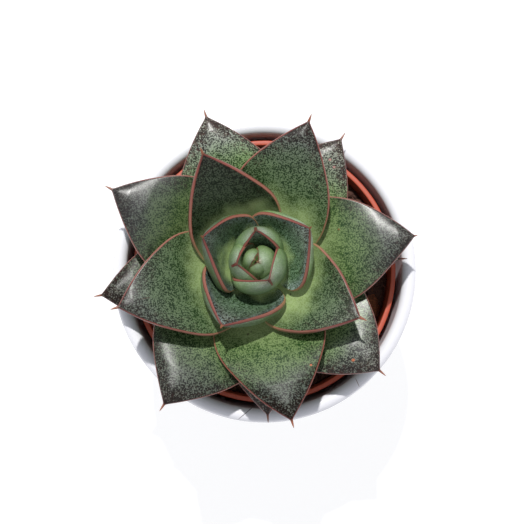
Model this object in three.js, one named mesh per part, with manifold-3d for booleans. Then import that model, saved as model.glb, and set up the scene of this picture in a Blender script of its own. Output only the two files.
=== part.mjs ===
// A succulent rosette in its nursery pot, standing in a glazed round cover pot.
// Millimetres, +Z up. The origin is the middle of the cover pot's underside, +Y is the side
// of the rosette that the light falls from, and the plant leans a little off the pots' axis.
import * as THREE from 'three';
import { mergeVertices } from 'three/addons/utils/BufferGeometryUtils.js';
import Module from 'manifold-3d';

const wasm = await Module();
wasm.setup();

// ---------------------------------------------------------------- driving dimensions
const CLEARANCE = 0.3; // kept between pieces that nearly touch

const COVER_POT = {
  height: 81, rimRadius: 48.9, footRadius: 38, wall: 4.5, floor: 5, sideBow: 2.9, footEdge: 2.5, fillet: 4,
};
const GROW_POT = {
  rimRadius: 42.5, top: 77.5, band: 11.5, bandStep: 1.6, footRadius: 28.5, wall: 1.6, floor: 1.8, lip: 0.5,
};
const DRAIN = { radius: 3, ringRadius: 17, count: 5, sides: 16 };
const SOIL = { top: 70, bump: 0.55, rings: 6 };
const SOIL_WAVES = [[0.31, 0, 0.7], [0, 0.37, -0.4], [0.83, 0.45, 0], [-0.5, 0.71, 1.3]];
const CHIPS = {
  count: 18, size: [1.0, 2.4], shape: [1, 0.6, 0.5], inner: 12, outer: 36.5, tilt: 0.4, seed: 11,
};
const BARK = { x: 36.2, y: -8.6, size: [2.2, 3.4, 1.6], turn: -0.5 };
const PLANT = { x: -2.2, y: 0.6 }; // the stem's place
const STEM = { radius: 5, foot: 52, top: 94, sides: 24 };
const POT_SIDES = 48;
const CURVE_POINTS = 3; // on each curve of the cover pot's profile

// One leaf shape serves all: a flat or cupped upper face, crowned towards the tip, over a round
// belly, ending in a spine.
const SPINE = 2.6; // usual length of a full-grown leaf's end spine
const SPINE_RADIUS = 0.6;
const SPINE_BLEND = 2.5; // length over which the blade runs out into the spine
const SPINE_TAPER = 0.6; // below 1 the spine keeps its thickness longer
const BLEND = 1.6; // how softly the blade's width passes into the spine's
const GROWN = 30; // leaves at least this long have a full spine
const WIDEST = 0.42; // share of the length at which a leaf is widest
const ROOT_WIDTH = 0.46; // width at the root, as a share of the widest
const BLUNT = 1.75; // usual power of the outline towards the tip: higher is blunter
const ROOT_CURVE = 2.3; // and towards the root
const STOUTEST = 1.2; // the belly is never deeper than this times the half width
const BELLY = [[0, 0.62], [0.25, 0.95], [0.45, 1], [0.7, 0.78], [0.88, 0.42], [1, 0.12]];
const CROWN = [[0, 0], [0.3, 0.1], [0.55, 0.6], [0.78, 1], [0.9, 0.85], [0.96, 0.5], [1, 0.1]];
const CROWN_RISE = 2.2; // height of the upper face's crown on a leaf of CROWN_LENGTH
const CROWN_LENGTH = 50;
const CROWN_LIMIT = 0.5; // the crown is never higher than this times the half width
const STATIONS = [0, 0.07, 0.15, 0.24, 0.33, 0.42, 0.52, 0.62, 0.71, 0.79, 0.86, 0.92, 0.965, 1];
const BUD_STATIONS = [0, 0.12, 0.26, 0.42, 0.56, 0.7, 0.82, 0.92, 1];
const ACROSS = 7; // points across a leaf, edge to edge

// Leaves from the youngest outward, each about 137.5 degrees on from the one before.
// at: direction from the stem, half: half width, z: height of the root, pitch: slope at the
// root and at the tip, cup: half the arc that the blade curls through, bend: turn of the
// midrib sideways, roll: twist at the tip, thick: belly, reach: distance of the root, widest:
// share of the length at which it is widest, blunt: power of the outline towards the tip,
// spine: length of the end spine.
const BUD_LEAVES = [
  { at: 278.0, length: 10.5, half: 2.3, z: 102.0, pitch: [62, 124], cup: 70, thick: 2.4, reach: 0.8 },
  { at: 150.0, length: 10.6, half: 3.2, z: 101.4, pitch: [62, 118], cup: 66, thick: 2.6, reach: 1.0 },
  { at: 5.0, length: 13.0, half: 5.2, z: 99.0, pitch: [60, 128], cup: 70, thick: 3.6, reach: 1.1 },
  { at: 184.3, length: 17.3, half: 7.2, z: 97.0, pitch: [70, 85], cup: 70,
    bend: 16, thick: 4.4, reach: 2.2, blunt: 2.0 },
  { at: 87.9, length: 17.0, half: 8.1, z: 96.2, pitch: [62, 76], cup: 74,
    bend: 15, thick: 4.6, reach: 3.0, blunt: 2.3 },
  { at: 297.1, length: 18.5, half: 10.2, z: 94.6, pitch: [71, 83], cup: 72,
    bend: 14, thick: 4.8, reach: 2.2, widest: 0.5, blunt: 2.8 },
];
const OPEN_LEAVES = [
  { at: 156.7, length: 25.9, half: 13.0, z: 93.0, pitch: [50, 66], cup: 46,
    roll: 16, thick: 4.8, reach: 3.7 },
  { at: 32.1, length: 25.3, half: 14.2, z: 91.8, pitch: [48, 62], cup: 42, thick: 5.0, reach: 3.7 },
  { at: 241.4, length: 27.8, half: 14.5, z: 90.6, pitch: [43, 58], cup: 50, roll: 6, thick: 5.4 },
  { at: 119.3, length: 41.1, half: 15.0, z: 89.4, pitch: [46, 34], cup: 34, bend: -5,
    thick: 6.0, widest: 0.38 },
  { at: 328.3, length: 37.1, half: 14.6, z: 88.2, pitch: [42, 24], cup: 28, bend: 7,
    thick: 6.0, widest: 0.38 },
  { at: 198.0, length: 46.1, half: 16.6, z: 87.0, pitch: [45, 12], cup: 20, thick: 6.0 },
  { at: 71.0, length: 47.4, half: 15.9, z: 85.8, pitch: [43, 11], cup: 16, bend: -2, thick: 6.0 },
  { at: 279.4, length: 49.5, half: 17.4, z: 84.6, pitch: [40, 8], cup: 10, bend: 6, thick: 5.7 },
  { at: 152.9, length: 50.3, half: 16.6, z: 83.4, pitch: [38, 4], cup: 10, thick: 5.5, widest: 0.48 },
  { at: 12.9, length: 49.0, half: 17.6, z: 82.2, pitch: [37, 3], cup: 8, bend: -5.5,
    thick: 5.4, spine: 1 },
  { at: 235.9, length: 51.7, half: 19.2, z: 80.8, pitch: [37, 5], bend: 1, thick: 5.2, blunt: 1.85 },
  { at: 110.5, length: 48.6, half: 18.0, z: 79.6, pitch: [36, 2], bend: -3, thick: 5.0 },
  { at: 319.1, length: 49.6, half: 17.4, z: 78.4, pitch: [36, 4], thick: 4.8, blunt: 2.05 },
  { at: 190.7, length: 48.7, half: 16.3, z: 77.2, pitch: [34, 2], thick: 4.6 },
  { at: 56.8, length: 46.9, half: 15.8, z: 76.0, pitch: [33, 0], thick: 4.5, blunt: 1.8 },
  { at: 273.9, length: 45.1, half: 14.5, z: 74.8, pitch: [32, 0], thick: 4.4 },
  { at: 6.2, length: 43.8, half: 10.5, z: 73.6, pitch: [32, 0], bend: -6, thick: 4.2, spine: 2.2 },
];
const LEAF_DEFAULTS = { cup: 0, bend: 0, roll: 0, reach: 4, widest: WIDEST, blunt: BLUNT, spine: SPINE };
const BUD_CORE = { radius: 3.4, top: 101, sides: 16 };

// ---------------------------------------------------------------- materials
const finish = (color, roughness) => new THREE.MeshStandardMaterial({ color, roughness, metalness: 0 });
const MATERIALS = {
  glaze: finish(0xf2f2f4, 0.18),
  terracotta: finish(0xb0603f, 0.5),
  soil: finish(0x1b1410, 0.95),
  stem: finish(0x7f8a58, 0.7),
  leaf: finish(0x5d7354, 0.42),
};

// ---------------------------------------------------------------- solids
// A closed triangle mesh as a solid that can be joined and cut.
function toSolid(geometry) {
  const bare = geometry.clone();
  bare.deleteAttribute('normal');
  bare.deleteAttribute('uv');
  const merged = mergeVertices(bare, 1e-4);
  return new wasm.Manifold(new wasm.Mesh({
    numProp: 3,
    vertProperties: new Float32Array(merged.attributes.position.array),
    triVerts: new Uint32Array(merged.index.array),
  }));
}

function toGeometry(solid) {
  const { vertProperties, triVerts } = solid.getMesh();
  const geometry = new THREE.BufferGeometry();
  geometry.setAttribute('position', new THREE.BufferAttribute(vertProperties, 3));
  geometry.setIndex(new THREE.BufferAttribute(triVerts, 1));
  return geometry;
}

// The biggest connected body of a solid: slivers cut loose and closed pockets are dropped.
function biggestBody(solid) {
  const bodies = solid.decompose();
  return bodies.reduce((best, body) => (body.volume() > best.volume() ? body : best));
}

function boxesMeet(a, b) {
  const [p, q] = [a.boundingBox(), b.boundingBox()];
  return [0, 1, 2].every((k) => p.min[k] < q.max[k] && q.min[k] < p.max[k]);
}

// A profile of [radius, height] points turned about the pots' axis.
function turned(points) {
  return new THREE.LatheGeometry(points, POT_SIDES).rotateX(Math.PI / 2);
}

function uprightCylinder(radius, low, high, sides) {
  const cylinder = new THREE.CylinderGeometry(radius, radius, high - low, sides);
  return cylinder.rotateX(Math.PI / 2).translate(0, 0, (low + high) / 2);
}

// ---------------------------------------------------------------- pots
function coverPot() {
  const { height, rimRadius, footRadius, wall, floor, sideBow, footEdge, fillet } = COVER_POT;
  const lip = wall / 2;
  const shoulder = height - lip;
  const innerRim = rimRadius - wall;
  const innerFoot = footRadius - wall;
  const profile = new THREE.Path();
  profile.moveTo(0, 0);
  profile.lineTo(footRadius - footEdge, 0);
  profile.quadraticCurveTo(footRadius, 0, footRadius, footEdge);
  profile.quadraticCurveTo(rimRadius - sideBow, shoulder / 2, rimRadius, shoulder);
  profile.absarc(rimRadius - lip, shoulder, lip, 0, Math.PI, false);
  profile.quadraticCurveTo(innerRim - sideBow, shoulder / 2, innerFoot, floor + fillet);
  profile.quadraticCurveTo(innerFoot, floor, innerFoot - fillet, floor);
  profile.lineTo(0, floor);
  return turned(profile.getPoints(CURVE_POINTS));
}

// The nursery pot's inner wall from the middle of its floor up to its rim band, drawn in by inset.
function growPotInside(inset) {
  const { rimRadius, top, band, bandStep, footRadius, wall, floor, lip } = GROW_POT;
  const floorTop = COVER_POT.floor + floor;
  return [
    [0, floorTop],
    [footRadius - wall - inset, floorTop],
    [footRadius - wall + lip - inset, floorTop + lip],
    [rimRadius - wall - bandStep - lip - inset, top - band - lip],
    [rimRadius - wall - lip - inset, top - band + wall],
  ];
}

function growPot() {
  const { rimRadius, top, band, bandStep, footRadius, wall, lip } = GROW_POT;
  const foot = COVER_POT.floor;
  const outside = [
    [0, foot],
    [footRadius, foot],
    [footRadius + lip, foot + lip],
    [rimRadius - bandStep - lip, top - band - lip],
    [rimRadius - lip, top - band],
    [rimRadius, top - lip],
    [rimRadius - lip, top],
  ];
  const rimInside = [[rimRadius - wall + lip, top], [rimRadius - wall, top - lip]];
  const profile = [...outside, ...rimInside, ...growPotInside(0).reverse()];
  const shell = toSolid(turned(profile.map(([r, z]) => new THREE.Vector2(r, z))));
  return toGeometry(drainHoles().reduce((body, hole) => body.subtract(hole), shell));
}

function drainHoles() {
  const foot = COVER_POT.floor;
  const middle = uprightCylinder(DRAIN.radius, foot - 1, foot + GROW_POT.floor + 1, DRAIN.sides);
  const ring = Array.from({ length: DRAIN.count }, (_, k) => {
    const turn = (k / DRAIN.count) * 2 * Math.PI;
    return middle.clone().translate(DRAIN.ringRadius, 0, 0).rotateZ(turn);
  });
  return [middle, ...ring].map(toSolid);
}

// ---------------------------------------------------------------- soil
// A repeatable stream of numbers between 0 and 1, by the usual linear congruential rule.
function randomStream(seed) {
  let state = seed;
  return () => {
    state = (state * 1664525 + 1013904223) % 4294967296;
    return state / 4294967296;
  };
}

function soilHeight(x, y) {
  const [a, b, c, d] = SOIL_WAVES.map(([kx, ky, shift]) => kx * x + ky * y + shift);
  return SOIL.top + SOIL.bump * (Math.sin(a) * Math.cos(b) + Math.sin(c) * Math.cos(d));
}

function soilPlug() {
  const inside = growPotInside(CLEARANCE);
  const edge = inside.at(-1)[0];
  const top = Array.from({ length: SOIL.rings + 1 }, (_, k) => [edge * (1 - k / SOIL.rings), SOIL.top]);
  const geometry = turned([...inside, ...top].map(([r, z]) => new THREE.Vector2(r, z)));
  const position = geometry.attributes.position;
  for (let k = 0; k < position.count; k += 1) {
    const [x, y, z] = [position.getX(k), position.getY(k), position.getZ(k)];
    if (z > SOIL.top - 0.01) position.setZ(k, soilHeight(x, y));
  }
  return toSolid(geometry);
}

// A rough lump that lies half sunk in the soil.
function lump(x, y, size, turn) {
  const stone = new THREE.IcosahedronGeometry(1, 0).scale(...size);
  stone.rotateZ(turn).rotateX(CHIPS.tilt * Math.sin(turn));
  return toSolid(stone.translate(x, y, soilHeight(x, y)));
}

function chips() {
  const random = randomStream(CHIPS.seed);
  const between = (low, high) => low + (high - low) * random();
  return Array.from({ length: CHIPS.count }, () => {
    const [radius, angle] = [between(CHIPS.inner, CHIPS.outer), between(0, 2 * Math.PI)];
    const [size, turn] = [between(...CHIPS.size), between(0, 2 * Math.PI)];
    const sides = CHIPS.shape.map((share) => share * size);
    return lump(radius * Math.cos(angle), radius * Math.sin(angle), sides, turn);
  });
}

function soil() {
  const bark = lump(BARK.x, BARK.y, BARK.size, BARK.turn);
  const heap = [bark, ...chips()].reduce((body, piece) => body.add(piece), soilPlug());
  const hole = uprightCylinder(STEM.radius + CLEARANCE, STEM.foot, STEM.top, STEM.sides);
  return toGeometry(biggestBody(heap.subtract(toSolid(hole.translate(PLANT.x, PLANT.y, 0)))));
}

// ---------------------------------------------------------------- leaves
const radians = THREE.MathUtils.degToRad;

function along(table, u) {
  const next = table.findIndex(([at]) => at >= u);
  if (next <= 0) return table[Math.max(next, 0)][1];
  const [[u0, v0], [u1, v1]] = [table[next - 1], table[next]];
  return v0 + ((v1 - v0) * (u - u0)) / (u1 - u0);
}

// A leaf's half width at the share u of the length, as a share of its widest.
function outline({ widest, blunt }, u) {
  if (u > widest) return 1 - ((u - widest) / (1 - widest)) ** blunt;
  return 1 - (1 - ROOT_WIDTH) * ((widest - u) / widest) ** ROOT_CURVE;
}

// The frame of the midrib at the distance s from the root: place, side and up directions.
function midrib(leaf, s, steps = 60) {
  const place = new THREE.Vector3(leaf.reach * Math.cos(radians(leaf.at)),
    leaf.reach * Math.sin(radians(leaf.at)), leaf.z);
  const forward = new THREE.Vector3();
  const aim = (distance) => {
    const u = Math.min(distance / leaf.length, 1);
    const pitch = radians(leaf.pitch[0] + (leaf.pitch[1] - leaf.pitch[0]) * u);
    const heading = radians(leaf.at + leaf.bend * u);
    forward.set(Math.cos(pitch) * Math.cos(heading), Math.cos(pitch) * Math.sin(heading), Math.sin(pitch));
    return heading;
  };
  for (let k = 0; k < steps; k += 1) {
    aim(((k + 0.5) / steps) * s);
    place.addScaledVector(forward, s / steps);
  }
  const heading = aim(s);
  const side = new THREE.Vector3(-Math.sin(heading), Math.cos(heading), 0);
  side.applyAxisAngle(forward, radians(leaf.roll) * Math.min(s / leaf.length, 1));
  return { place, side, up: new THREE.Vector3().crossVectors(forward, side) };
}

// One cross section: a crowned arc for the upper face and a round belly below it. grow swells it.
function section(leaf, s, total, grow) {
  const scale = Math.min(1, leaf.length / GROWN);
  const u = Math.min(s / leaf.length, 1);
  const runout = Math.min((total - s) / (leaf.spine * scale + SPINE_BLEND), 1);
  const spine = SPINE_RADIUS * scale * runout ** SPINE_TAPER;
  const blade = leaf.half * outline(leaf, u);
  const half = (blade ** BLEND + spine ** BLEND) ** (1 / BLEND);
  const belly = Math.min(Math.max(leaf.thick * along(BELLY, u), spine), STOUTEST * half);
  const rise = CROWN_RISE * (leaf.length / CROWN_LENGTH) ** 2 * along(CROWN, u);
  const crown = Math.min(rise, CROWN_LIMIT * half);
  const curl = Math.max(radians(leaf.cup), 1e-3);
  const arc = (half + grow) / curl;
  const { place, side, up } = midrib(leaf, s);
  const upper = [];
  const lower = [];
  for (let k = 0; k < ACROSS; k += 1) {
    const v = Math.sin(Math.PI * (k / (ACROSS - 1) - 0.5));
    const turn = curl * v;
    const point = place.clone().addScaledVector(side, arc * Math.sin(turn))
      .addScaledVector(up, arc * (1 - Math.cos(turn)));
    const out = side.clone().multiplyScalar(-Math.sin(turn)).addScaledVector(up, Math.cos(turn));
    const depth = Math.sqrt(Math.max(1 - v * v, 0));
    upper.push(point.clone().addScaledVector(out, (grow + crown * depth) * depth));
    lower.push(point.clone().addScaledVector(out, -(belly + grow) * depth));
  }
  return [...upper, ...lower.slice(1, -1).reverse()];
}

function leafSolid(shape, stations, grow = 0) {
  const leaf = { ...LEAF_DEFAULTS, ...shape };
  const total = leaf.length + leaf.spine * Math.min(1, leaf.length / GROWN);
  const cuts = [...stations.map((u) => u * leaf.length), 0.5 * (leaf.length + total)];
  const loops = cuts.map((s) => section(leaf, s, total, grow));
  const tip = midrib(leaf, total + grow).place;
  return toSolid(skinned(loops, tip));
}

// A closed skin over a row of loops, with a fan at the root and a point at the tip.
function skinned(loops, tip) {
  const sides = loops[0].length;
  const root = loops[0].reduce((sum, p) => sum.add(p), new THREE.Vector3()).divideScalar(sides);
  const points = [root, ...loops.flat(), tip];
  const at = (row, k) => 1 + row * sides + (k % sides);
  const faces = [];
  for (let k = 0; k < sides; k += 1) {
    faces.push(0, at(0, k), at(0, k + 1));
    for (let row = 1; row < loops.length; row += 1) {
      faces.push(at(row - 1, k), at(row, k), at(row - 1, k + 1));
      faces.push(at(row, k), at(row, k + 1), at(row - 1, k + 1));
    }
    faces.push(at(loops.length - 1, k), points.length - 1, at(loops.length - 1, k + 1));
  }
  const geometry = new THREE.BufferGeometry().setFromPoints(points);
  geometry.setIndex(faces);
  return geometry;
}

// ---------------------------------------------------------------- the plant
const stem = (grow = 0) => uprightCylinder(STEM.radius + grow, STEM.foot, STEM.top, STEM.sides);

function bud() {
  const core = toSolid(uprightCylinder(BUD_CORE.radius, STEM.top - 1, BUD_CORE.top, BUD_CORE.sides));
  const whole = BUD_LEAVES.reduce((sum, leaf) => sum.add(leafSolid(leaf, BUD_STATIONS)), core);
  return biggestBody(whole.subtract(toSolid(stem(CLEARANCE))));
}

// Each leaf gives way to the stem and to every younger leaf, so that no two pieces meet.
function openLeaves() {
  const inTheWay = [toSolid(stem(CLEARANCE)),
    ...BUD_LEAVES.map((leaf) => leafSolid(leaf, BUD_STATIONS, CLEARANCE))];
  return OPEN_LEAVES.map((leaf) => {
    let body = leafSolid(leaf, STATIONS);
    for (const other of inTheWay) {
      if (boxesMeet(body, other)) body = body.subtract(other);
    }
    inTheWay.push(leafSolid(leaf, STATIONS, CLEARANCE));
    return biggestBody(body);
  });
}

// ---------------------------------------------------------------- assembly
function piece(name, geometry, material) {
  const mesh = new THREE.Mesh(geometry, material);
  mesh.name = name;
  return mesh;
}

const group = new THREE.Group();
group.add(piece('cover_pot', coverPot(), MATERIALS.glaze));
group.add(piece('grow_pot', growPot(), MATERIALS.terracotta));
group.add(piece('soil', soil(), MATERIALS.soil));

const plant = new THREE.Group();
plant.position.set(PLANT.x, PLANT.y, 0);
plant.add(piece('stem', stem(), MATERIALS.stem));
plant.add(piece('bud', toGeometry(bud()), MATERIALS.leaf));
openLeaves().forEach((body, k) => {
  plant.add(piece(`leaf_${String(k + 1).padStart(2, '0')}`, toGeometry(body), MATERIALS.leaf));
});
group.add(plant);

export default group;
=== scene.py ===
"""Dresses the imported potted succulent: fine leaves, glazed cover pot, nursery pot, soil and light.

Lengths in the tables are millimetres, in the row frame; meshes are written in metres.
"""
import math
import random
from types import SimpleNamespace

import bpy
import numpy as np
from mathutils import Euler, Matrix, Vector, noise


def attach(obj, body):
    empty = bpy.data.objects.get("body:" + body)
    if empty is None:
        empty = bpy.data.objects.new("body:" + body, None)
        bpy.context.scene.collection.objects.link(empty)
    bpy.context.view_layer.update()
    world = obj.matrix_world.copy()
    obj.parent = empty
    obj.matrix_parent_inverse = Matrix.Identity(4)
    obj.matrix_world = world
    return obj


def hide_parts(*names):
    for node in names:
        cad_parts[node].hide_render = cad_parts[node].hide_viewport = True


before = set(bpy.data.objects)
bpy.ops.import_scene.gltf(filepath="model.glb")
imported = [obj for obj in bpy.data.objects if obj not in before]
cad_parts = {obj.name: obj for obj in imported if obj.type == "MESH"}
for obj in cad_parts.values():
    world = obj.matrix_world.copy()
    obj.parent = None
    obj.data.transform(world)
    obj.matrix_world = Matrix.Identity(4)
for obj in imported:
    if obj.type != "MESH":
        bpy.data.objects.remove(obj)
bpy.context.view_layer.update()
MM = 0.001

# ------------------------------------------------------------------ driving dimensions
COVER_POT = dict(height=81, rim=48.9, foot=38, wall=4.5, floor=5, bow=2.9, edge=2.5, fillet=4)
FOOT_RING = dict(outer=34.0, inner=27.5, recess=0.7)
GROW_POT = dict(rim=42.5, top=77.5, band=11.5, step=1.6, foot=28.5, wall=1.6, floor=1.8, lip=0.5)
SOIL_TOP = 70.0
SOIL_WAVES = [(0.31, 0, 0.7), (0, 0.37, -0.4), (0.83, 0.45, 0), (-0.5, 0.71, 1.3)]
SOIL_BUMP = 0.55
SOIL_SHOULDER = 1.2
SOIL_DROP = 0.6
FIBRES = 46
FIBRE_LIMIT = 39
PLANT = (-2.2, 0.6)
STEM = dict(radius=5, foot=52, top=94)
CLEARANCE = 0.3
BARK = (35.0, -11.5)
BARK_STRETCH = (2.5, 4.6, 1.5)

# Form of a leaf: its end spine, its outline, the belly below and the crown above along its length,
# its rounded margin and the faint waves that keep it from looking machined.
SPINE = 2.6
SPINE_RADIUS = 0.6
SPINE_BLEND = 2.5
SPINE_TAPER = 0.6
BLEND = 1.6
GROWN = 30
ROOT_WIDTH = 0.46
BLUNT = 1.75
ROOT_CURVE = 2.3
STOUTEST = 1.2
BELLY = [(0, 0.62), (0.25, 0.95), (0.45, 1), (0.7, 0.78), (0.88, 0.42), (1, 0.12)]
CROWN = [(0, 0), (0.3, 0.1), (0.55, 0.6), (0.78, 1), (0.9, 0.85), (0.96, 0.5), (1, 0.1)]
CROWN_RISE = 2.2
CROWN_LENGTH = 50
CROWN_LIMIT = 0.5
EDGE_ROUND = 0.42
ROUNDEST = 0.42
TIP_CROWDING = 1.3
SWELL = (0.012, 0.01)
RIPPLE = 0.20
KEEL = 0.35

# Mesh fineness: rows and points across of an open leaf and of a bud leaf, then the turned pieces.
LEAF_MESH, BUD_MESH = (110, 45), (70, 37)
COVER_POT_SIDES, GROW_POT_SIDES, STEM_SIDES = 192, 160, 48
SOIL_SIDES, SOIL_RINGS = 220, 90

WORLD_STRENGTH = 0.52
SUN_STRENGTH, SUN_FROM = 3.3, (-0.07, 0.46, 0.88)
SOFT_POWER, SOFT_FROM = 1.6, (-0.15, 0.36, 0.92)
FLOOR_SIZE, FLOOR_GLOW = 6.0, 0.8
CAMERA = dict(target=(-0.8, 2.6, 80.0), distance=450.0, tilt=4, lens=96.0)

# Lightness and gloss of each open leaf's skin, youngest first; the lightness is partly the leaf's own and
# partly painted shade and light, each leaf darker or lighter by how the light falls on it.
SKIN_TONES_WITH_PAINTED_SHADE = [(0.76, 0.4), (1.05, 0.4), (0.82, 0.4), (0.4, 0.25), (0.62, 0.4), (0.62, 0.4), (0.64, 0.3),
         (0.57, 0.1), (0.52, 0.7), (0.6, 0.55), (0.6, 0.3), (0.92, 0.5), (0.72, 0.5), (0.64, 0.2),
         (0.92, 0.5), (0.9, 0.4), (1, 0.4)]
BUD_SKIN = (0.98, 0.3)
# How far apart the leaves lie in the noise, so that no two have the same flecks.
SKIN_SHIFT = 13.0

# Small blemishes by leaf number: x, y, half length, half width, angle and colour.
DARK, RUST, ROSE = (38, 26, 20), (176, 96, 62), (176, 128, 122)
BLEMISHES = {
    2: [(11.0, -1.4, 1.1, 0.16, 60, DARK)],
    3: [(7.5, -8.1, 0.34, 0.28, 20, DARK)],
    5: [(24.9, -13.9, 1.7, 0.17, -30, DARK), (8.0, -8.6, 0.4, 0.3, 60, DARK)],
    6: [(-35.8, -10.3, 1.7, 0.16, 12, (60, 44, 34))],
    7: [(12.6, 41.6, 1.4, 0.16, 65, DARK)],
    8: [(-5.1, -20.9, 0.55, 0.32, 35, DARK), (14.1, -30.4, 0.4, 0.34, 0, RUST),
        (-4.2, -20.2, 0.25, 0.2, 0, DARK)],
    10: [(23.1, 11.7, 0.36, 0.3, 0, (120, 72, 36)), (30.2, 14.6, 0.25, 0.2, 0, DARK)],
    13: [(27.4, -28.9, 0.55, 0.45, 20, RUST)],
    15: [(20.7, 34.3, 0.5, 0.4, 0, ROSE), (22.0, 32.0, 0.45, 0.4, 0, ROSE)],
}
# Thin dark lines across the rim of the glaze, in the same terms.
DARK_RIM_LINES = [(-5.9, -45.7, 3.7, 0.14, 40, (70, 62, 62)), (29.7, -36.1, 1.6, 0.12, -66, (132, 104, 88))]

# Colours along a leaf, from its root at 0 to its tip at 1.
WAX = [(0.5, (126, 156, 108)), (0.7, (142, 162, 128)), (0.86, (166, 172, 158)), (1.0, (176, 170, 158))]
GROUND = [(0.5, (22, 52, 12)), (0.66, (14, 34, 10)), (0.84, (24, 26, 18)), (1.0, (48, 34, 28))]
UNDERSIDE = [(0.0, (126, 156, 78)), (0.45, (116, 146, 82)), (0.72, (126, 150, 106)),
             (0.92, (150, 164, 144)), (1.0, (130, 118, 104))]
MARGIN_LINE = [(0.0, (160, 172, 104)), (0.3, (154, 122, 88)), (0.5, (146, 98, 82)),
               (0.88, (122, 68, 60)), (1.0, (100, 54, 48))]
MARGIN_STREAK = [(0.0, (140, 156, 88)), (0.3, (132, 96, 60)), (0.5, (104, 54, 42)), (1.0, (60, 28, 28))]
# The skin's other colours: on old and young leaves, near a margin, and lush, then pale near the stem, where
# the pale base is also lightened as painted light over the shade of the inner leaves.
OLD_WAX, YOUNG_WAX, FROSTED_WAX = (142, 140, 120), (112, 140, 128), (150, 168, 162)
LUSH_WAX, PALE_BASE_AND_PAINTED_LIGHT_WAX = (132, 160, 96), (174, 198, 136)
OLD_GROUND, LUSH_GROUND, PALE_BASE_AND_PAINTED_LIGHT_GROUND = (36, 30, 20), (40, 80, 22), (156, 180, 112)
BROWN_GROUND, STAIN = (46, 30, 24), (74, 42, 32)
UNDERSIDE_PATCH, UNDERSIDE_FLECK, SPINE_COLOUR = (92, 124, 72), (66, 92, 50), (140, 88, 68)
# Size in millimetres, detail and roughness of the noises in the skin.
PATCH, GRAIN, BLOTCH = (6.0, 2.0, 0.5), (0.43, 2.0, 0.55), (1.5, 2.0, 0.6)
STAIN_NOISE, MARGIN_NOISE = (1.1, 3.0, 0.65), (1.6, 2.0, 0.6)


def leaf(at, length, half, z, pitch, cup=0, bend=0, roll=0, thick=5.0, reach=4.0, widest=0.42,
         blunt=BLUNT, spine=SPINE):
    """One leaf: where it springs from, how it lies and how thick it is."""
    return dict(at=at, length=length, half=half, z=z, pitch=pitch, cup=cup, bend=bend, roll=roll,
                thick=thick, reach=reach, widest=widest, blunt=blunt, spine=spine)


BUD_LEAVES = [
    leaf(278.0, 10.5, 2.3, 102.0, (62, 124), cup=70, thick=2.4, reach=0.8),
    leaf(150.0, 10.6, 3.2, 101.4, (62, 118), cup=66, thick=2.6, reach=1.0),
    leaf(5.0, 13.0, 5.2, 99.0, (60, 128), cup=70, thick=3.6, reach=1.1),
    leaf(184.3, 17.3, 7.2, 97.0, (70, 85), cup=70, bend=16, thick=4.4, reach=2.2, blunt=2.0),
    leaf(87.9, 17.0, 8.1, 96.2, (62, 76), cup=74, bend=15, thick=4.6, reach=3.0, blunt=2.3),
    leaf(297.1, 18.5, 10.2, 94.6, (71, 83), cup=72, bend=14, thick=4.8, reach=2.2, widest=0.5, blunt=2.8),
]
OPEN_LEAVES = [
    leaf(156.7, 25.9, 13.0, 93.0, (50, 66), cup=46, roll=16, thick=4.8, reach=3.7),
    leaf(32.1, 25.3, 14.2, 91.8, (48, 62), cup=42, thick=5.0, reach=3.7),
    leaf(241.4, 27.8, 14.5, 90.6, (43, 58), cup=50, roll=6, thick=5.4),
    leaf(119.3, 41.1, 15.0, 89.4, (46, 34), cup=34, bend=-5, thick=6.0, widest=0.38),
    leaf(328.3, 37.1, 14.6, 88.2, (42, 24), cup=28, bend=7, thick=6.0, widest=0.38),
    leaf(198.0, 46.1, 16.6, 87.0, (45, 12), cup=20, thick=6.0),
    leaf(71.0, 47.4, 15.9, 85.8, (43, 11), cup=16, bend=-2, thick=6.0),
    leaf(279.4, 49.5, 17.4, 84.6, (40, 8), cup=10, bend=6, thick=5.7),
    leaf(152.9, 50.3, 16.6, 83.4, (38, 4), cup=10, thick=5.5, widest=0.48),
    leaf(12.9, 49.0, 17.6, 82.2, (37, 3), cup=8, bend=-5.5, thick=5.4, spine=1),
    leaf(235.9, 51.7, 19.2, 80.8, (37, 5), bend=1, thick=5.2, blunt=1.85),
    leaf(110.5, 48.6, 18.0, 79.6, (36, 2), bend=-3, thick=5.0),
    leaf(319.1, 49.6, 17.4, 78.4, (36, 4), thick=4.8, blunt=2.05),
    leaf(190.7, 48.7, 16.3, 77.2, (34, 2), thick=4.6),
    leaf(56.8, 46.9, 15.8, 76.0, (33, 0), thick=4.5, blunt=1.8),
    leaf(273.9, 45.1, 14.5, 74.8, (32, 0), thick=4.4),
    leaf(6.2, 43.8, 10.5, 73.6, (32, 0), bend=-6, thick=4.2, spine=2.2),
]


# ------------------------------------------------------------------ mesh helpers
def new_piece(name, verts, faces, replaces=()):
    """A smooth mesh piece from points in millimetres, riding on the one body."""
    mesh = bpy.data.meshes.new(name)
    mesh.from_pydata([tuple(MM * c for c in v) for v in verts], [], [tuple(f) for f in faces])
    mesh.validate()
    mesh.shade_smooth()
    piece = bpy.data.objects.new(name, mesh)
    bpy.context.scene.collection.objects.link(piece)
    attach(piece, "root")
    if replaces:
        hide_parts(*replaces)
    return piece


def paint(piece, name, values):
    """A number for each point, which the material reads by name."""
    attribute = piece.data.attributes.new(name, "FLOAT", "POINT")
    attribute.data.foreach_set("value", np.asarray(values, dtype=np.float32))


def arc(cx, cz, radius, start, end, count):
    """Points on a circle round cx and cz, from one angle to another in degrees."""
    return [(cx + radius * math.cos(math.radians(start + (end - start) * k / count)),
             cz + radius * math.sin(math.radians(start + (end - start) * k / count)))
            for k in range(count + 1)]


def curve(p0, p1, p2, count):
    """Points from p0 to p2 on a curve that p1 draws towards it."""
    return [tuple((1 - t) ** 2 * a + 2 * t * (1 - t) * b + t * t * c for a, b, c in zip(p0, p1, p2))
            for t in (k / count for k in range(count + 1))]


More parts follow.
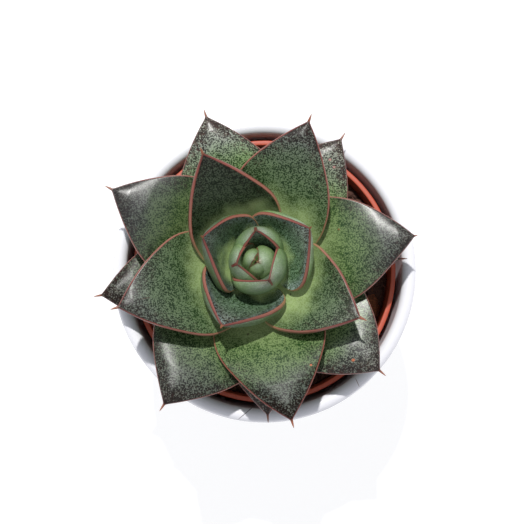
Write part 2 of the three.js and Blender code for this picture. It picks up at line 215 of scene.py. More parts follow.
def turned(profile, sides):
    """Points and faces of an [r, z] profile turned about Z; it starts and ends on the axis."""
    rings = profile[1:-1]
    verts = [(0, 0, profile[0][1])]
    for r, z in rings:
        verts += [(r * math.cos(2 * math.pi * k / sides), r * math.sin(2 * math.pi * k / sides), z)
                  for k in range(sides)]
    verts.append((0, 0, profile[-1][1]))
    faces = [(0, 1 + (k + 1) % sides, 1 + k) for k in range(sides)]
    for row in range(len(rings) - 1):
        a, b = 1 + row * sides, 1 + (row + 1) * sides
        faces += [(a + k, a + (k + 1) % sides, b + (k + 1) % sides, b + k) for k in range(sides)]
    last = 1 + (len(rings) - 1) * sides
    faces += [(last + k, last + (k + 1) % sides, len(verts) - 1) for k in range(sides)]
    return verts, faces


# ------------------------------------------------------------------ leaves
def midrib(shape, s):
    """Place, side and up directions of the midrib at each distance s from the root."""
    total = s[-1]
    fine = np.linspace(0, total, 600)
    u = np.clip(fine / shape["length"], 0, 1)
    pitch = np.radians(shape["pitch"][0] + (shape["pitch"][1] - shape["pitch"][0]) * u)
    heading = np.radians(shape["at"] + shape["bend"] * u)
    forward = np.stack([np.cos(pitch) * np.cos(heading), np.cos(pitch) * np.sin(heading),
                        np.sin(pitch)], 1)
    steps = (forward[1:] + forward[:-1]) / 2 * (total / (len(fine) - 1))
    at = math.radians(shape["at"])
    root = np.array([PLANT[0] + shape["reach"] * math.cos(at), PLANT[1] + shape["reach"] * math.sin(at),
                     shape["z"]])
    place = np.vstack([root, root + np.cumsum(steps, 0)])
    side = np.stack([-np.sin(heading), np.cos(heading), 0 * heading], 1)
    up = np.cross(forward, side)
    roll = np.radians(shape["roll"]) * u
    turned_side = side * np.cos(roll)[:, None] + up * np.sin(roll)[:, None]
    turned_up = up * np.cos(roll)[:, None] - side * np.sin(roll)[:, None]
    pick = lambda rows: np.stack([np.interp(s, fine, rows[:, k]) for k in range(3)], 1)
    return pick(place), pick(turned_side), pick(turned_up)


def outline(shape, u):
    """Half width at the share u of the length, as a share of the widest."""
    widest = shape["widest"]
    beyond = np.clip((u - widest) / (1 - widest), 0, 1)
    before = np.clip((widest - u) / widest, 0, 1)
    return np.where(u > widest, 1 - beyond ** shape["blunt"],
                    1 - (1 - ROOT_WIDTH) * before ** ROOT_CURVE)


def leaf_surface(shape, rows, across, seed):
    """Points of one leaf with its paint: share of the length, distance to the margin, underside, and
    distance from the midrib."""
    scale = min(1, shape["length"] / GROWN)
    total = shape["length"] + shape["spine"] * scale
    s = total * (1 - (1 - np.linspace(0, 1, rows + 1)) ** TIP_CROWDING)
    u = np.clip(s / shape["length"], 0, 1)
    blade = shape["half"] * outline(shape, u)
    to_end = np.clip((total - s) / (shape["spine"] * scale + SPINE_BLEND), 0, 1)
    spine = SPINE_RADIUS * scale * to_end ** SPINE_TAPER
    half = (blade ** BLEND + spine ** BLEND) ** (1 / BLEND)
    belly = np.minimum(np.maximum(shape["thick"] * np.interp(u, *zip(*BELLY)), spine), STOUTEST * half)
    curl = max(math.radians(shape["cup"]), 1e-3)
    place, side, up = midrib(shape, s)
    rng = random.Random(seed)
    wave = [rng.uniform(0, 6.28) for _ in range(6)]  # the last two are spare
    inner = np.sin(np.pi * u)
    size = shape["length"] / CROWN_LENGTH
    crown = np.minimum(CROWN_RISE * size ** 2 * np.interp(u, *zip(*CROWN)), CROWN_LIMIT * half)
    edge = np.minimum(np.minimum(EDGE_ROUND * scale, ROUNDEST * belly), 0.5 * half)
    upper, lower = [], []
    for value in np.sin(np.linspace(-np.pi / 2, np.pi / 2, across)):
        depth = math.sqrt(max(0, 1 - value * value))
        swell = 1 + SWELL[0] * np.sin(9 * u + wave[0]) * np.sign(value) + SWELL[1] * np.sin(17 * u + wave[1])
        turn = curl * value
        radius = half * swell / curl
        point = (place + side * (radius * math.sin(turn))[:, None]
                 + up * (radius * (1 - math.cos(turn)))[:, None])
        out = -side * math.sin(turn) + up * math.cos(turn)
        to_margin = (1 - abs(value)) * half
        centre = abs(value) * half
        near_edge = np.clip(1 - to_margin / np.maximum(edge, 1e-6), 0, 1)
        rounding = edge * (1 - np.sqrt(1 - near_edge ** 2))
        ripple = RIPPLE * size * (np.sin(6.0 * u + 2.2 * value + wave[2])
                                  + np.sin(11.0 * u - 3.1 * value + wave[3]))
        lift = crown * depth ** 2 + inner * ripple * depth - rounding
        upper.append((point + out * lift[:, None], to_margin, 0.0 if abs(value) < 1 else 0.5, centre))
        under = edge + (belly - edge) * depth
        keel = KEEL * size * inner * np.clip(u - 0.4, 0, 1) * (1 - abs(value)) ** 2
        lower.append((point - out * (under + keel)[:, None], to_margin, 1.0, centre))
    loop = upper + lower[1:-1][::-1]
    points, margin, centre = (np.stack([row[k] for row in loop], 1) for k in (0, 1, 3))
    below = np.stack([np.full(rows + 1, row[2]) for row in loop], 1)
    along = np.repeat((s / shape["length"])[:, None], len(loop), 1)
    return points, along, margin, below, centre


def leaf_mesh(shape, rows, across, seed):
    """Points, faces and paint of a closed leaf."""
    points, along, margin, below, centre = leaf_surface(shape, rows, across, seed)
    sides = points.shape[1]
    root, tip = points[0].mean(0), points[-1].mean(0)
    verts = np.vstack([root[None], points[:-1].reshape(-1, 3), tip[None]])
    flat = lambda a, first, last: np.concatenate([[first], a[:-1].reshape(-1), [last]])
    faces = [(0, 1 + k, 1 + (k + 1) % sides) for k in range(sides)]
    for row in range(rows - 1):
        a, b = 1 + row * sides, 1 + (row + 1) * sides
        faces += [(a + k, b + k, b + (k + 1) % sides, a + (k + 1) % sides) for k in range(sides)]
    last = 1 + (rows - 1) * sides
    faces += [(last + k, len(verts) - 1, last + (k + 1) % sides) for k in range(sides)]
    return verts, faces, {"along": flat(along, 0, along[-1, 0]), "margin": flat(margin, 9, 0),
                          "below": flat(below, 1, 0.5), "centre": flat(centre, 0, 0)}


def make_leaf(name, shape, fineness, seed, replaces):
    verts, faces, paints = leaf_mesh(shape, *fineness, seed)
    piece = new_piece(name, verts, faces, replaces=[replaces])
    for paint_name, values in paints.items():
        paint(piece, paint_name, values)
    return piece


def make_leaves():
    return [make_leaf(f"leaf_{k:02d}_skin", shape, LEAF_MESH, 100 + k, f"leaf_{k:02d}")
            for k, shape in enumerate(OPEN_LEAVES, 1)]


def make_bud():
    return [make_leaf(f"bud_leaf_{k}", shape, BUD_MESH, 40 + k, "bud")
            for k, shape in enumerate(BUD_LEAVES, 1)]


# ------------------------------------------------------------------ pots, stem and soil
def make_cover_pot():
    p = COVER_POT
    lip, shoulder = p["wall"] / 2, p["height"] - p["wall"] / 2
    inner_rim, inner_foot = p["rim"] - p["wall"], p["foot"] - p["wall"]
    ring = FOOT_RING
    profile = [(0, ring["recess"]), (ring["inner"] - 1.2, ring["recess"])]
    profile += curve((ring["inner"] - 0.6, ring["recess"]), (ring["inner"], ring["recess"]),
                     (ring["inner"] + 0.4, 0), 5)
    profile += [(0.5 * (ring["inner"] + ring["outer"]), 0), (p["foot"] - p["edge"], 0)]
    profile += curve((p["foot"] - p["edge"], 0), (p["foot"], 0), (p["foot"], p["edge"]), 8)[1:]
    profile += curve((p["foot"], p["edge"]), (p["rim"] - p["bow"], shoulder / 2),
                     (p["rim"], shoulder), 30)[1:]
    profile += arc(p["rim"] - lip, shoulder, lip, 0, 180, 18)[1:]
    profile += curve((inner_rim, shoulder), (inner_rim - p["bow"], shoulder / 2),
                     (inner_foot, p["floor"] + p["fillet"]), 24)[1:]
    profile += curve((inner_foot, p["floor"] + p["fillet"]), (inner_foot, p["floor"]),
                     (inner_foot - p["fillet"], p["floor"]), 6)[1:]
    profile += [(inner_foot - 12, p["floor"]), (0, p["floor"])]
    verts, faces = turned(profile, COVER_POT_SIDES)
    return new_piece("cover_pot_glazed", verts, faces, replaces=["cover_pot"])


def grow_pot_inside(inset):
    """The inside of the nursery pot, or a shape that much smaller, from its middle to below its rim."""
    g = GROW_POT
    floor_top = COVER_POT["floor"] + g["floor"]
    body = g["rim"] - g["wall"] - g["step"] - g["lip"] - inset
    return [(0, floor_top), (g["foot"] - g["wall"] - 0.6 - inset, floor_top),
            (g["foot"] - g["wall"] - inset, floor_top + 0.1),
            (g["foot"] - g["wall"] + g["lip"] - inset, floor_top + g["lip"]),
            (body - 0.05, g["top"] - g["band"] - g["lip"] - 0.4), (body, g["top"] - g["band"] - g["lip"]),
            (body + g["step"] - 0.1, g["top"] - g["band"] + g["wall"] - 0.1),
            (body + g["step"], g["top"] - g["band"] + g["wall"] + 0.3)]


def make_grow_pot():
    g = GROW_POT
    foot, lip, rim, top, band = COVER_POT["floor"], g["lip"], g["rim"], g["top"], g["band"]
    body = rim - g["step"] - lip
    profile = [(0, foot), (g["foot"] - 0.5, foot)]
    profile += arc(g["foot"], foot + lip, lip, -90, 0, 4)
    profile += [(body - 0.05, top - band - lip - 0.4), (body, top - band - lip),
                (rim - lip - 0.3, top - band - 0.05), (rim - lip, top - band + 0.25),
                (rim - 0.05, top - 2.6)]
    profile += arc(rim - 0.45, top - 0.45, 0.45, 0, 90, 6)
    profile += arc(rim - g["wall"] + 0.35, top - 0.35, 0.35, 90, 180, 5)
    profile += [(rim - g["wall"] - 0.02, top - 1.4), (rim - g["wall"] - 0.1, top - 4.0)]
    profile += grow_pot_inside(0)[::-1]
    verts, faces = turned(profile, GROW_POT_SIDES)
    return new_piece("grow_pot_plastic", verts, faces, replaces=["grow_pot"])


def soil_height(x, y):
    """The gentle waves that the CAD soil has too."""
    a, b, c, d = (kx * x + ky * y + shift for kx, ky, shift in SOIL_WAVES)
    return SOIL_TOP + SOIL_BUMP * (math.sin(a) * math.cos(b) + math.sin(c) * math.cos(d))


def rough_soil(x, y):
    """The same waves with clods and grains on them."""
    grain = noise.fractal(Vector((x * 0.45, y * 0.45, 3.1)), 0.9, 2.1, 5)
    clods = abs(noise.noise(Vector((x * 0.22, y * 0.22, 9.7))))
    return soil_height(x, y) + 0.75 * grain + 1.1 * clods - 0.4


def make_soil():
    """The plug of soil with a fine rough top, which drops a little at the pot's wall."""
    wall = grow_pot_inside(CLEARANCE)
    edge = wall[-1][0]
    profile = wall + [(edge, SOIL_TOP - SOIL_SHOULDER)]
    profile += [(edge * (1 - k / SOIL_RINGS), SOIL_TOP) for k in range(SOIL_RINGS)] + [(0, SOIL_TOP)]
    verts, faces = turned(profile, SOIL_SIDES)
    first_top = 1 + len(wall) * SOIL_SIDES
    for k in range(first_top, len(verts)):
        x, y, _ = verts[k]
        from_wall = min(1, max(0, (edge - math.hypot(x, y)) / SOIL_SHOULDER))
        verts[k] = (x, y, SOIL_TOP - SOIL_DROP + from_wall * (rough_soil(x, y) - SOIL_TOP + SOIL_DROP))
    return new_piece("soil_bed", verts, faces, replaces=["soil"])


def lump(rng, size, stretch, roughness):
    """A small closed rough lump round the origin."""
    t = (1 + 5 ** 0.5) / 2
    corners = [Vector(c).normalized() for c in (
        (-1, t, 0), (1, t, 0), (-1, -t, 0), (1, -t, 0), (0, -1, t), (0, 1, t),
        (0, -1, -t), (0, 1, -t), (t, 0, -1), (t, 0, 1), (-t, 0, -1), (-t, 0, 1))]
    sides = [(0, 11, 5), (0, 5, 1), (0, 1, 7), (0, 7, 10), (0, 10, 11), (1, 5, 9), (5, 11, 4),
             (11, 10, 2), (10, 7, 6), (7, 1, 8), (3, 9, 4), (3, 4, 2), (3, 2, 6), (3, 6, 8),
             (3, 8, 9), (4, 9, 5), (2, 4, 11), (6, 2, 10), (8, 6, 7), (9, 8, 1)]
    middles, faces = {}, []
    for a, b, c in sides:
        cut = []
        for p, q in ((a, b), (b, c), (c, a)):
            key = (min(p, q), max(p, q))
            if key not in middles:
                middles[key] = len(corners)
                corners.append((corners[p] + corners[q]).normalized())
            cut.append(middles[key])
        ab, bc, ca = cut
        faces += [(a, ab, ca), (b, bc, ab), (c, ca, bc), (ab, bc, ca)]
    shift = Vector((rng.uniform(-50, 50), rng.uniform(-50, 50), rng.uniform(-50, 50)))
    verts = []
    for corner in corners:
        swell = 1 + roughness * noise.noise(corner * 1.7 + shift)
        verts.append(Vector([size * swell * k * c for k, c in zip(stretch, corner)]))
    return verts, faces


def scatter(name, count, seed, sizes, stretch, roughness, spread, sink):
    """Many lumps in one piece, each turned and half sunk in the soil."""
    rng = random.Random(seed)
    verts, faces = [], []
    low, high = spread
    for _ in range(count):
        radius = math.sqrt(rng.uniform(low ** 2, high ** 2))
        angle = rng.uniform(0, 2 * math.pi)
        size = sizes[0] + (sizes[1] - sizes[0]) * rng.random() ** 2
        points, sides = lump(rng, size, [s * rng.uniform(0.8, 1.2) for s in stretch], roughness)
        turn = Euler((rng.uniform(-0.5, 0.5), rng.uniform(-0.5, 0.5), rng.uniform(0, 6.28))).to_matrix()
        x, y = radius * math.cos(angle), radius * math.sin(angle)
        place = Vector((x, y, rough_soil(x, y) + sink * size))
        base = len(verts)
        verts += [turn @ p + place for p in points]
        faces += [tuple(base + i for i in side) for side in sides]
    return new_piece(name, verts, faces)


def make_bark_chunk():
    """The one big piece of bark that shows between the leaves."""
    points, sides = lump(random.Random(2), 1.0, BARK_STRETCH, 0.55)
    x, y = BARK
    foot = Vector((x, y, soil_height(x, y) + 0.5))
    return new_piece("bark_chunk", [foot + p for p in points], sides)


def tube(points, radius, sides=6):
    """Points and faces of a closed tube with tapering ends along a row of points."""
    verts, faces = [], []
    count = len(points)
    for k, point in enumerate(points):
        ahead = points[min(k + 1, count - 1)] - points[max(k - 1, 0)]
        across = ahead.cross(Vector((0.3, 0.2, 1))).normalized()
        over = ahead.cross(across).normalized()
        r = radius * (0.35 if k in (0, count - 1) else 1)
        verts += [point + r * (math.cos(a) * across + math.sin(a) * over)
                  for a in (2 * math.pi * j / sides for j in range(sides))]
    for row in range(count - 1):
        a, b = row * sides, (row + 1) * sides
        faces += [(a + j, a + (j + 1) % sides, b + (j + 1) % sides, b + j) for j in range(sides)]
    faces.append(tuple(range(sides - 1, -1, -1)))
    faces.append(tuple((count - 1) * sides + j for j in range(sides)))
    return verts, faces


def make_fibres():
    """Thin orange-brown coir fibres that lie on the soil."""
    rng = random.Random(5)
    verts, faces = [], []
    for _ in range(FIBRES):
        radius = rng.uniform(22, 37.5)
        angle = rng.uniform(0, 2 * math.pi)
        heading = rng.uniform(0, 2 * math.pi)
        x, y = radius * math.cos(angle), radius * math.sin(angle)
        points = []
        length = rng.uniform(3, 9)
        for k in range(12):
            heading += rng.uniform(-0.25, 0.25)
            x += length / 12 * math.cos(heading)
            y += length / 12 * math.sin(heading)
            reach = math.hypot(x, y)
            if reach > FIBRE_LIMIT:
                x, y = x * FIBRE_LIMIT / reach, y * FIBRE_LIMIT / reach
            points.append(Vector((x, y, rough_soil(x, y) + 0.35 + 0.5 * math.sin(math.pi * k / 11))))
        more, sides = tube(points, rng.uniform(0.09, 0.16))
        base = len(verts)
        verts += more
        faces += [tuple(base + i for i in side) for side in sides]
    return new_piece("soil_fibres", verts, faces)


def make_stem():
    """The short fleshy stem, with rings where old leaves sat."""
    s = STEM
    profile = [(0, s["foot"]), (s["radius"] - 0.3, s["foot"])]
    steps = 60
    for k in range(steps + 1):
        z = s["foot"] + 0.4 + (s["top"] - s["foot"] - 0.8) * k / steps
        ring = 0.28 * (abs(math.sin(z * 1.15)) ** 0.5 - 0.5)
        profile.append((s["radius"] - 0.25 + ring * 0.8, z))
    profile += [(s["radius"] - 0.5, s["top"]), (0, s["top"])]
    verts, faces = turned(profile, STEM_SIDES)
    verts = [(x + PLANT[0], y + PLANT[1], z) for x, y, z in verts]
    return new_piece("stem_flesh", verts, faces, replaces=["stem"])


# ------------------------------------------------------------------ materials
def linear(red, green, blue):
    """A display colour, 0 to 255, as the linear colour that shaders use."""
    def one(c):
        c /= 255
        return c / 12.92 if c <= 0.04045 else ((c + 0.055) / 1.055) ** 2.4
    return (one(red), one(green), one(blue), 1.0)


def shade(colour, tone):
    """A display colour made lighter or darker."""
    return linear(*(c * tone for c in colour))


def shades(stops, tone=1.0):
    return [(position, shade(colour, tone)) for position, colour in stops]


class Graph:
    """A material with one principled shader, and short ways to add the nodes that feed it."""

    def __init__(self, name):
        self.material = bpy.data.materials.new(name)
        self.material.use_nodes = True
        self.tree = self.material.node_tree
        self.tree.nodes.clear()
        output = self.add("ShaderNodeOutputMaterial")
        self.skin = self.add("ShaderNodeBsdfPrincipled")
        self.link(self.skin.outputs[0], output.inputs["Surface"])
        coordinates = self.add("ShaderNodeTexCoord")
        scale = self.add("ShaderNodeVectorMath", operation="SCALE")
        scale.inputs["Scale"].default_value = 1 / MM
        self.link(coordinates.outputs["Object"], scale.inputs[0])
        self.place = scale.outputs[0]

    def add(self, kind, **settings):
        node = self.tree.nodes.new(kind)
        for key, value in settings.items():
            setattr(node, key, value)
        return node

    def link(self, source, target):
        self.tree.links.new(source, target)

    def feed(self, socket, value):
        if hasattr(value, "links"):
            self.link(value, socket)
        else:
            socket.default_value = value

    def attribute(self, name):
        return self.add("ShaderNodeAttribute", attribute_name=name).outputs["Fac"]

    def from_stem(self):
        """Level distance from the stem's axis in millimetres."""
        flat = self.add("ShaderNodeVectorMath", operation="MULTIPLY_ADD")
        flat.inputs[1].default_value = (1, 1, 0)
        flat.inputs[2].default_value = (-PLANT[0], -PLANT[1], 0)
        self.link(self.place, flat.inputs[0])
        length = self.add("ShaderNodeVectorMath", operation="LENGTH")
        self.link(flat.outputs[0], length.inputs[0])
        return length.outputs["Value"]

    def blot(self, x, y, long, short, angle):
        """1 inside an upright oval at x and y, 0 outside; sizes are half widths."""
        flat = self.add("ShaderNodeVectorMath", operation="MULTIPLY")
        flat.inputs[1].default_value = (1, 1, 0)
        self.link(self.place, flat.inputs[0])
        oval = self.add("ShaderNodeMapping", vector_type="TEXTURE")
        oval.inputs["Location"].default_value = (x, y, 0)
        oval.inputs["Rotation"].default_value = (0, 0, math.radians(angle))
        oval.inputs["Scale"].default_value = (long, short, 1)
        self.link(flat.outputs[0], oval.inputs["Vector"])
        length = self.add("ShaderNodeVectorMath", operation="LENGTH")
        self.link(oval.outputs[0], length.inputs[0])
        return self.step(length.outputs["Value"], 1.15, 0.75)

    def noise(self, size, detail=2.0, roughness=0.5, stretch=None, shift=0.0):
        """Noise with features of about the given size in millimetres."""
        node = self.add("ShaderNodeTexNoise")
        node.inputs["Scale"].default_value = 1 / size
        node.inputs["Detail"].default_value = detail
        node.inputs["Roughness"].default_value = roughness
        place = self.place
        if stretch or shift:
            mapping = self.add("ShaderNodeMapping")
            mapping.inputs["Location"].default_value = (shift, shift, shift)
            mapping.inputs["Scale"].default_value = stretch or (1, 1, 1)
            self.link(self.place, mapping.inputs["Vector"])
            place = mapping.outputs[0]
        self.link(place, node.inputs["Vector"])
        return node.outputs["Fac"]

    def math(self, operation, *values):
        node = self.add("ShaderNodeMath", operation=operation)
        for socket, value in zip(node.inputs, values):
            self.feed(socket, value)
        return node.outputs[0]

    def times(self, a, b):
        return self.math("MULTIPLY", a, b)

    def plus(self, a, b):
        return self.math("ADD", a, b)

    def minus(self, a, b):
        return self.math("SUBTRACT", a, b)

    def step(self, value, start, end):
        """0 at start, 1 at end, smooth between; start may be above end."""
        node = self.add("ShaderNodeMapRange", interpolation_type="SMOOTHSTEP")
        for socket, given in zip(node.inputs, (value, start, end, 0.0, 1.0)):
            self.feed(socket, given)
        return node.outputs[0]

    def ramp(self, value, stops):
        """Colours at positions from 0 to 1, blended between them."""
        node = self.add("ShaderNodeValToRGB")
        elements = node.color_ramp.elements
        while len(elements) < len(stops):
            elements.new(0.5)
        for element, (position, colour) in zip(elements, stops):
            element.position = position
        for element, (position, colour) in zip(elements, stops):
            element.color = colour
        self.feed(node.inputs[0], value)
        return node.outputs[0]

    def mix(self, share, a, b):
        node = self.add("ShaderNodeMix", data_type="RGBA")
        self.feed(node.inputs[0], share)
        self.feed(node.inputs[6], a)
        self.feed(node.inputs[7], b)
        return node.outputs[2]

    def bump(self, height, distance):
        """Fine relief that is the given distance deep in millimetres."""
        node = self.add("ShaderNodeBump")
        node.inputs["Strength"].default_value = 1.0
        node.inputs["Distance"].default_value = distance * MM
        self.link(height, node.inputs["Height"])
        self.link(node.outputs[0], self.skin.inputs["Normal"])

    def set(self, **values):
        for key, value in values.items():
            self.feed(self.skin.inputs[key.replace("_", " ")], value)


def by_age(age, bud, whorl, opened):
    """The value for the bud, for the three leaves round it, or for the leaves that are further open."""
    return opened if age > 0.2 else whorl if age else bud


def leaf_top(g, age, tone, shift, at):
    """The upper side: pale wax flecks over a dark ground, greener inwards, with brown stains."""
    old, young = max(0.0, 2 * age - 1), 1 - age
    # tone, and shine which follows it, make the skin lighter or darker, partly as painted shade and light.
    shine = min(1.0, 1.35 * tone)
    wax = g.ramp(at.wander, shades(WAX, tone))
    wax = g.mix(0.3 * old, wax, shade(OLD_WAX, tone))
    wax = g.mix(0.55 * young, wax, shade(YOUNG_WAX, tone))
    if age < 0.2:
        wax = g.mix(g.step(at.margin, 4.5, 0.8), wax, shade(FROSTED_WAX, tone))
    ground = g.ramp(at.wander, shades(GROUND, tone))
    ground = g.mix(0.3 * old, ground, shade(OLD_GROUND, tone))
    lush_share = 0.85 if age > 0.45 else by_age(age, 0, 0, 0.3)
    if lush_share:
        lush = g.times(g.step(at.reach, 41.0, 27.0), lush_share)
        wax = g.mix(lush, wax, shade(LUSH_WAX, shine))
        ground = g.mix(lush, ground, shade(LUSH_GROUND, shine))
    # Paler near the stem: partly the leaf's own paler base, partly painted light that lightens the shade
    # cast by the inner leaves and the bud.
    wax = g.mix(at.glow, wax, shade(PALE_BASE_AND_PAINTED_LIGHT_WAX, shine))
    ground = g.mix(at.glow, ground, shade(PALE_BASE_AND_PAINTED_LIGHT_GROUND, shine))
    outer = g.times(g.step(at.margin, 6.0, 1.0), g.step(at.along, 0.45, 0.8))
    outer = g.times(outer, 0.35 + 0.65 * age)
    ground = g.mix(g.times(outer, 0.7), ground, shade(BROWN_GROUND, tone))

    speck = g.plus(g.times(at.grain, 0.78), g.times(at.blotch, 0.22))
    dusk = g.times(g.step(at.wander, 0.74, 1.0), 0.3 + 0.7 * age)
    cover = g.plus(0.485, g.times(at.drift, 0.12))
    cover = g.plus(cover, g.times(g.plus(outer, dusk), 0.05))
    blur = by_age(age, 0.11, 0.11, 0.05)
    flecks = g.step(speck, g.minus(cover, blur), g.plus(cover, blur + 0.02))
    top = g.mix(flecks, ground, wax)

    stain = g.step(g.noise(*STAIN_NOISE, shift=shift + 21), 0.53, 0.62)
    stain = g.times(stain, g.times(g.step(at.margin, 8.0, 2.0), g.step(at.along, 0.4, 0.65)))
    return g.mix(g.times(stain, 0.25 + 0.5 * age), top, shade(STAIN, tone)), flecks


def leaf_underside(g, age, tone, at, flecks):
    """The underside: paler, smoother and faintly mottled."""
    young = 1 - age
    pale = g.ramp(at.along, shades(UNDERSIDE, tone))
    pale = g.mix(g.times(g.step(at.patch, 0.4, 0.65), 0.35), pale, shade(UNDERSIDE_PATCH, tone))
    share = g.plus(0.5 + 0.15 * young, g.times(flecks, 0.5 - 0.15 * young))
    return g.mix(share, shade(UNDERSIDE_FLECK, tone), pale)


def leaf_margin(g, age, shift, at, keeled, skin):
    """A coloured line round the leaf, and down the keel's end on the bud's outer leaves."""
    width = by_age(age, 0.15, 0.24, 0.33)
    uneven = g.times(g.minus(g.noise(*MARGIN_NOISE, shift=shift + 3), 0.5), 0.7 * width)
    near = g.plus(at.margin, uneven)
    if keeled:
        keel = g.math("MAXIMUM", at.centre, g.times(g.minus(0.84, at.along), 12.0))
        keel = g.minus(g.plus(keel, g.times(g.minus(1.0, at.below), 3.0)), 0.08)
        near = g.math("MINIMUM", near, g.plus(keel, g.times(uneven, 1.6)))
    skin = g.mix(g.step(near, 1.25 * width, 0.8 * width), skin, g.ramp(at.along, shades(MARGIN_STREAK)))
    skin = g.mix(g.step(near, 0.7 * width, 0.42 * width), skin, g.ramp(at.along, shades(MARGIN_LINE)))
    return g.mix(g.step(at.along, 0.99, 1.02), skin, linear(*SPINE_COLOUR))


def leaf_material(name, age, tone, gloss, shift, keeled=False, blemishes=()):
    """Waxy speckled skin; age runs from 0 for the bud to 1 for the outermost leaves."""
    g = Graph(name)
    at = SimpleNamespace(**{key: g.attribute(key) for key in ("along", "margin", "below", "centre")})
    at.patch = g.noise(*PATCH, shift=shift)
    at.grain = g.noise(*GRAIN, shift=shift)
    at.blotch = g.noise(*BLOTCH, shift=shift + 7)
    at.drift = g.minus(at.patch, 0.5)
    at.wander = g.plus(at.along, g.times(at.drift, 0.16))
    at.reach = g.plus(g.from_stem(), g.times(at.drift, 7.0))
    # How far the pale base reaches from the stem; on the three leaves round the bud it is widened as painted
    # light over the bud's shadow on them.
    opened = (min(18 + 20 * age, 13 + 34 * age), 15.0)
    at.glow = g.step(at.reach, *by_age(age, (6.5, 1.0), (12.5, 7.5), opened))

    top, flecks = leaf_top(g, age, tone, shift, at)
    skin = g.mix(at.below, top, leaf_underside(g, age, tone, at, flecks))
    skin = leaf_margin(g, age, shift, at, keeled, skin)
    for x, y, long, short, angle, colour in blemishes:
        skin = g.mix(g.times(g.blot(x, y, long, short, angle), 0.85), skin, linear(*colour))
    # The emission makes the skin near the stem glow a little: painted light standing in for light coming
    # through the leaf.
    g.set(Base_Color=skin, Roughness=g.plus(0.31, g.times(at.blotch, 0.08)),
          Specular_IOR_Level=gloss,
          Emission_Color=linear(226, 255, 178), Emission_Strength=g.times(at.glow, 0.045),
          Subsurface_Weight=0.08, Subsurface_Radius=(0.6, 1.0, 0.3), Subsurface_Scale=0.8 * MM)
    g.bump(g.plus(g.times(at.grain, 0.4), at.blotch), 0.04)
    return g.material


def glaze_material():
    g = Graph("white_glaze")
    white = g.mix(g.times(g.noise(18, 2.0, 0.5), 0.5), linear(229, 229, 234), linear(222, 222, 228))
    split = g.add("ShaderNodeSeparateXYZ")
    g.link(g.place, split.inputs[0])
    height = split.outputs[2]
    near_rim = g.step(height, 76.5, 78.5)
    for x, y, long, short, angle, colour in DARK_RIM_LINES:
        line = g.times(g.blot(x, y, long, short, angle), near_rim)
        white = g.mix(g.times(line, 0.8), white, linear(*colour))
    bare = g.step(g.plus(height, g.times(g.noise(2.0), 0.3)), 0.55, 0.35)
    clay = g.mix(g.noise(0.5, 3.0, 0.6), linear(196, 186, 170), linear(224, 216, 204))
    g.set(Base_Color=g.mix(bare, white, clay), Roughness=g.plus(0.16, g.times(bare, 0.6)))
    g.bump(g.noise(6.0, 2.0, 0.5), 0.05)
    return g.material


def terracotta_material():
    g = Graph("terracotta_plastic_skin")
    cloud = g.noise(6.0, 3.0, 0.6)
    base = g.mix(cloud, linear(172, 70, 46), linear(190, 86, 60))
    dust = g.step(g.noise(0.8, 3.0, 0.7), 0.62, 0.75)
    g.set(Base_Color=g.mix(g.times(dust, 0.25), base, linear(150, 110, 90)),
          Roughness=g.plus(0.36, g.times(cloud, 0.2)))
    g.bump(g.noise(0.35, 2.0, 0.5), 0.02)
    return g.material


def soil_material():
    g = Graph("peat")
    bits = g.step(g.noise(0.7, 3.0, 0.7), 0.55, 0.72)
    g.set(Base_Color=g.mix(bits, linear(80, 52, 43), linear(134, 88, 60)), Roughness=0.93)
    g.bump(g.noise(0.5, 4.0, 0.7), 0.4)
    return g.material


def bark_material():
    g = Graph("bark")
    streak = g.noise(0.7, 4.0, 0.7, stretch=(0.4, 1.6, 1.6))
    colours = [(0.3, (60, 32, 20)), (0.55, (128, 70, 38)), (0.75, (176, 104, 58))]
    g.set(Base_Color=g.ramp(streak, shades(colours)), Roughness=0.85)
    g.bump(streak, 0.4)
    return g.material


def fibre_material():
    g = Graph("coir_fibre")
    g.set(Base_Color=g.mix(g.noise(2.0), linear(112, 62, 34), linear(176, 108, 60)), Roughness=0.7)
    g.bump(g.noise(0.2), 0.02)
    return g.material


def stem_material():
    g = Graph("stem_skin")
    cork = g.step(g.noise(1.2, 3.0, 0.6, stretch=(1, 1, 2.5)), 0.42, 0.6)
    g.set(Base_Color=g.mix(cork, linear(128, 138, 88), linear(134, 112, 84)), Roughness=0.7)
    g.bump(g.noise(0.6, 3.0, 0.6), 0.15)
    return g.material


def floor_material():
    """Pale by its own light, so that the white pot shows against it and its shadow is faint."""
    g = Graph("studio_floor")
    g.set(Base_Color=linear(150, 150, 152), Roughness=0.8, Emission_Color=(1, 1, 1, 1),
          Emission_Strength=FLOOR_GLOW)
    return g.material


# ------------------------------------------------------------------ stage
def hang(lamp, name, towards):
    """A lamp two metres from the part in the given direction, shining at it."""
    thing = bpy.data.objects.new(name, lamp)
    thing.location = 2.0 * towards.normalized()
    thing.rotation_mode = "QUATERNION"
    thing.rotation_quaternion = towards.to_track_quat("Z", "Y")
    bpy.context.scene.collection.objects.link(thing)


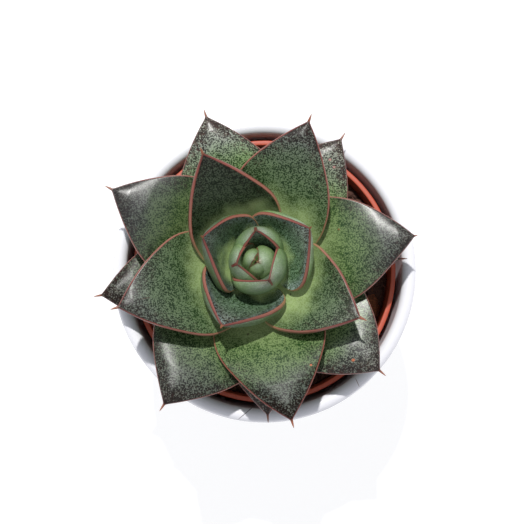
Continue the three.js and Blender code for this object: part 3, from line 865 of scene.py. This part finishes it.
def make_stage():
    """The pale floor, the sky light, and the two lamps."""
    scene = bpy.context.scene
    mesh = bpy.data.meshes.new("floor")
    sides = 64
    turns = [2 * math.pi * k / sides for k in range(sides)]
    ring = [(FLOOR_SIZE * math.cos(turn), FLOOR_SIZE * math.sin(turn), 0) for turn in turns]
    mesh.from_pydata(ring, [], [tuple(range(sides))])
    floor = bpy.data.objects.new("floor", mesh)
    scene.collection.objects.link(floor)
    floor.data.materials.append(floor_material())

    world = bpy.data.worlds.new("studio")
    world.use_nodes = True
    sky = world.node_tree.nodes["Background"]
    sky.inputs["Color"].default_value = (0.91, 0.93, 1.0, 1)
    sky.inputs["Strength"].default_value = WORLD_STRENGTH
    scene.world = world

    sun = bpy.data.lights.new("key", "SUN")
    sun.energy, sun.angle, sun.color = SUN_STRENGTH, math.radians(1.5), (1.0, 0.985, 0.955)
    hang(sun, "key", Vector(SUN_FROM))
    soft = bpy.data.lights.new("soft", "AREA")
    soft.shape, soft.size, soft.energy, soft.color = "SQUARE", 0.9, SOFT_POWER, (0.90, 0.95, 1.0)
    hang(soft, "soft", Vector(SOFT_FROM))
    scene.view_settings.view_transform = "Standard"


def make_camera():
    """The photograph looks almost straight down, from a little towards its lower edge."""
    tilt = math.radians(CAMERA["tilt"])
    back = Vector((0, -math.sin(tilt), math.cos(tilt)))
    data = bpy.data.cameras.new("camera")
    data.sensor_width = 36
    data.lens = CAMERA["lens"]
    camera = bpy.data.objects.new("camera", data)
    camera.location = (Vector(CAMERA["target"]) + CAMERA["distance"] * back) * MM
    camera.rotation_mode = "QUATERNION"
    camera.rotation_quaternion = back.to_track_quat("Z", "Y")
    data.clip_start, data.clip_end = 0.01, 50
    bpy.context.scene.collection.objects.link(camera)
    bpy.context.scene.camera = camera


# ------------------------------------------------------------------ assembly
def dress(piece, material):
    piece.data.materials.clear()
    piece.data.materials.append(material)


make_camera()
make_stage()
dress(make_cover_pot(), glaze_material())
dress(make_grow_pot(), terracotta_material())
dress(make_soil(), soil_material())
dress(scatter("soil_crumbs", 1500, seed=3, sizes=(0.35, 1.5), stretch=(1, 0.85, 0.7), roughness=0.7,
              spread=(7, 39.3), sink=0.15), soil_material())
dress(scatter("bark_chips", 46, seed=8, sizes=(1.2, 3.2), stretch=(1, 0.5, 0.3), roughness=0.8,
              spread=(12, 37), sink=0.25), bark_material())
dress(make_bark_chunk(), bark_material())
dress(make_fibres(), fibre_material())
dress(make_stem(), stem_material())
# Each leaf's tone is partly painted shade and light.
for index, (piece, skin) in enumerate(zip(make_leaves(), SKIN_TONES_WITH_PAINTED_SHADE)):
    dress(piece, leaf_material(piece.name, (index + 1) / len(SKIN_TONES_WITH_PAINTED_SHADE), *skin, SKIN_SHIFT * index,
                               blemishes=BLEMISHES.get(index + 1, ())))
for index, piece in enumerate(make_bud()):
    dress(piece, leaf_material(piece.name, 0, *BUD_SKIN, 300 + SKIN_SHIFT * index, keeled=index > 2))
